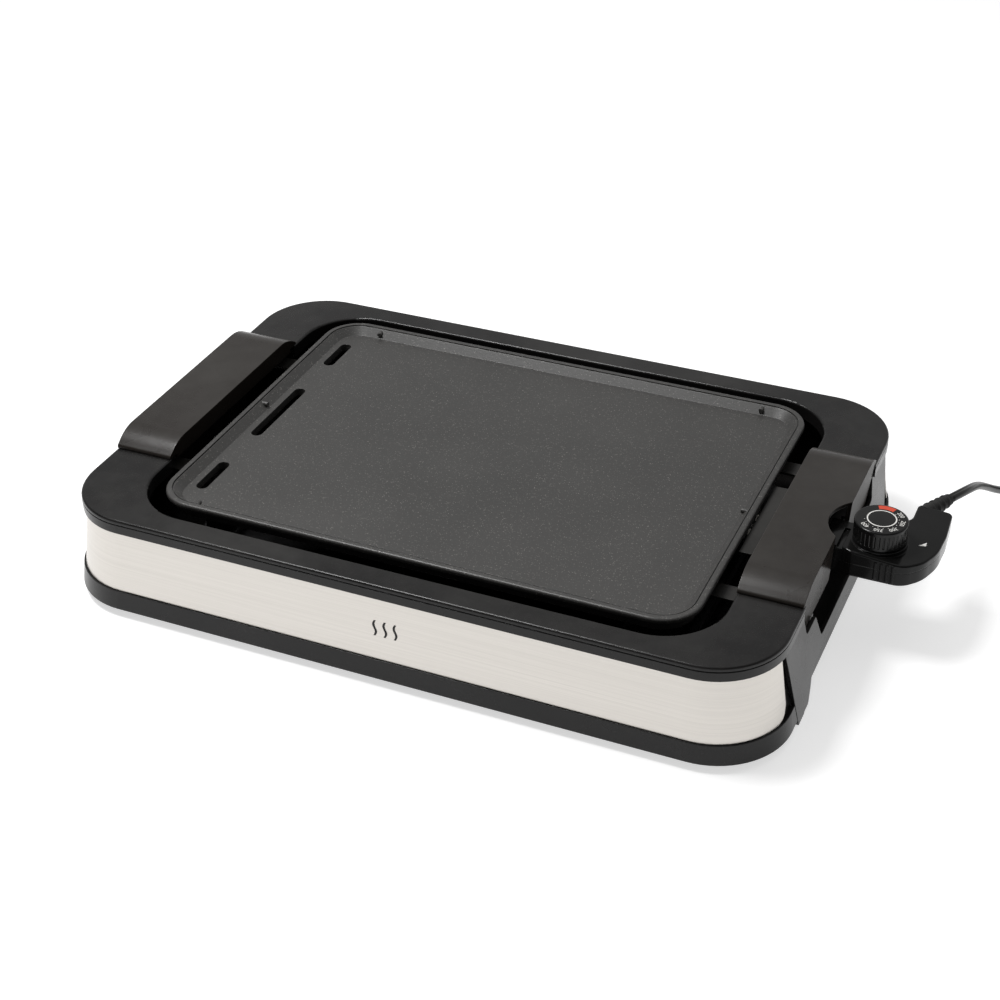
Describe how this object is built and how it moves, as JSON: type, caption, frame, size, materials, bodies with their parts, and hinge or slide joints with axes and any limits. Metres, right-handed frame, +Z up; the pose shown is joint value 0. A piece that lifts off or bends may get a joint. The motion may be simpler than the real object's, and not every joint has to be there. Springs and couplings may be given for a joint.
{
  "type": "electric griddle",
  "caption": "Low electric griddle: cast plate with drain slots and end handles on a steel-banded black base, plug-in dial controller with a power cord.",
  "frame": {"origin": "middle of the griddle's box without its free cord, on the surface that it stands on", "axes": "+X along the plate towards the controller, +Y towards the rear, +Z up"},
  "size_m": [0.7377, 0.5017, 0.0989],
  "materials": {
    "black_plastic": "moulded black plastic, satin to gloss",
    "steel": "stainless sheet brushed along its length",
    "mark": "dark printed mark",
    "rubber": "black rubber",
    "screw_steel": "zinc plated steel",
    "tray_metal": "dark enamelled sheet",
    "plate_coating": "cast aluminium with a dark speckled non-stick coating",
    "element_metal": "heater sheath, annealed grey",
    "pin_metal": "nickel plated brass",
    "ceramic": "white ceramic beads",
    "sheet_metal": "dark coated pressed sheet metal",
    "cover_plastic": "warm dark grey phenolic plastic, satin",
    "controller_plastic": "glossy black plastic",
    "probe_metal": "polished steel probe",
    "contact_metal": "spring bronze",
    "block_plastic": "brown phenolic block",
    "blade_metal": "bimetal strip",
    "sleeve_rubber": "black moulded sleeve",
    "dial_plastic": "black plastic with a printed white scale",
    "dial_cap": "black plastic insert",
    "cord_sheath": "black flexible sheath",
    "tie_plastic": "black strap",
    "plug_plastic": "black moulded plug"
  },
  "bodies": {
    "base": {"top_frame": "black_plastic", "base_tub": "black_plastic", "front_band": "steel", "rear_band": "steel", "front_badge": "mark", "rubber_feet": "rubber", "rubber_rests": "rubber", "base_screws": "screw_steel"},
    "tray": {"drip_tray": "tray_metal"},
    "plate": {"griddle_plate": "plate_coating", "heating_element": "element_metal", "terminal_pins": "pin_metal", "pin_insulators": "ceramic", "inlet_guard": "sheet_metal", "handle_cover_right": "cover_plastic", "handle_cover_left": "cover_plastic", "handle_bracket_right": "sheet_metal", "handle_bracket_left": "sheet_metal", "bracket_screws": "screw_steel"},
    "controller": {"controller_upper": "controller_plastic", "controller_lower": "controller_plastic", "controller_screws": "screw_steel", "probe_rod": "probe_metal", "contact_tubes": "contact_metal", "terminal_block": "block_plastic", "bimetal_blade": "blade_metal", "contact_leaf": "contact_metal", "strain_relief": "sleeve_rubber", "power_cord": "cord_sheath", "cord_coil": "cord_sheath", "coil_tie": "tie_plastic", "plug_body": "plug_plastic", "plug_blades": "pin_metal"},
    "dial": {"dial_knob": "dial_plastic", "dial_cap": "dial_cap", "dial_spindle": "screw_steel"}
  },
  "joints": [
    {"name": "plate_lift", "type": "slide", "parent": "base", "child": "plate", "axis": [0, 0, 1], "range_m": [0, 0.12]},
    {"name": "tray_lift", "type": "slide", "parent": "base", "child": "tray", "axis": [0, 0, 1], "range_m": [0, 0.06]},
    {"name": "controller_pull", "type": "slide", "parent": "plate", "child": "controller", "axis": [1, 0, 0], "range_m": [0, 0.14]},
    {"name": "dial_turn", "type": "hinge", "parent": "controller", "child": "dial", "pos_m": [0.27015, 0.0052, 0.09], "axis": [0, 0, 1], "range_deg": [-270, 0]}
  ],
  "couplings": [
    {"joint": "tray_lift", "follows": "plate_lift", "ratio": 0.5}
  ]
}
